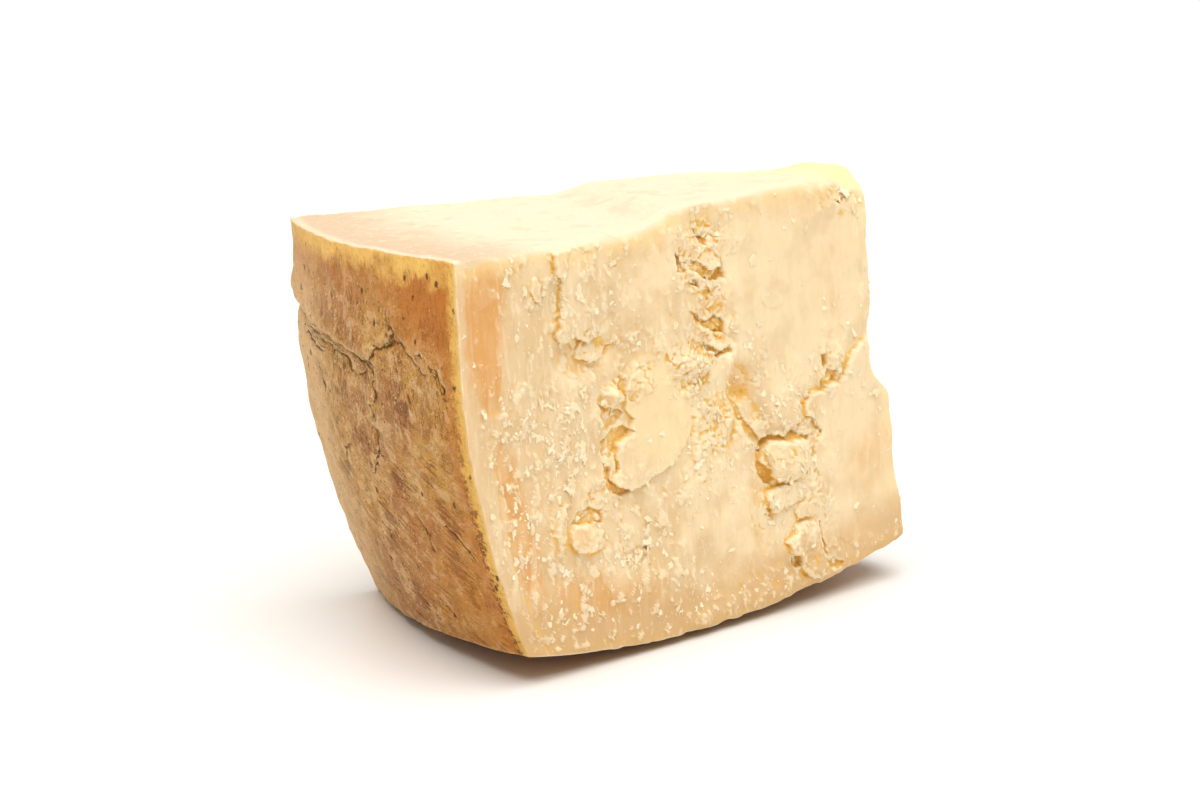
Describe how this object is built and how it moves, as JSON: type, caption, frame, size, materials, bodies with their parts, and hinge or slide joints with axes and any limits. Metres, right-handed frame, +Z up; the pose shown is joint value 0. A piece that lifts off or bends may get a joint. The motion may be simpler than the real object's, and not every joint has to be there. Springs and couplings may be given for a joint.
{
  "type": "parmesan chunk",
  "caption": "Wedge of hard, crumbly cheese broken from half a wheel, with a golden-brown rind on its curved side and underneath. It lies on its rind face.",
  "frame": {"origin": "middle of the chunk's box in plan, on the surface it stands on", "axes": "+X from the rind to the tip along the broken front side, +Y from the front side to the back side, +Z up"},
  "size_m": [0.1776, 0.1232, 0.1266],
  "materials": {
    "parmesan": "matt, slightly waxy broken cheese, with a rougher golden-brown rind on the curved side and underneath"
  },
  "bodies": {
    "root": {"cheese_chunk": "parmesan"}
  },
  "joints": []
}
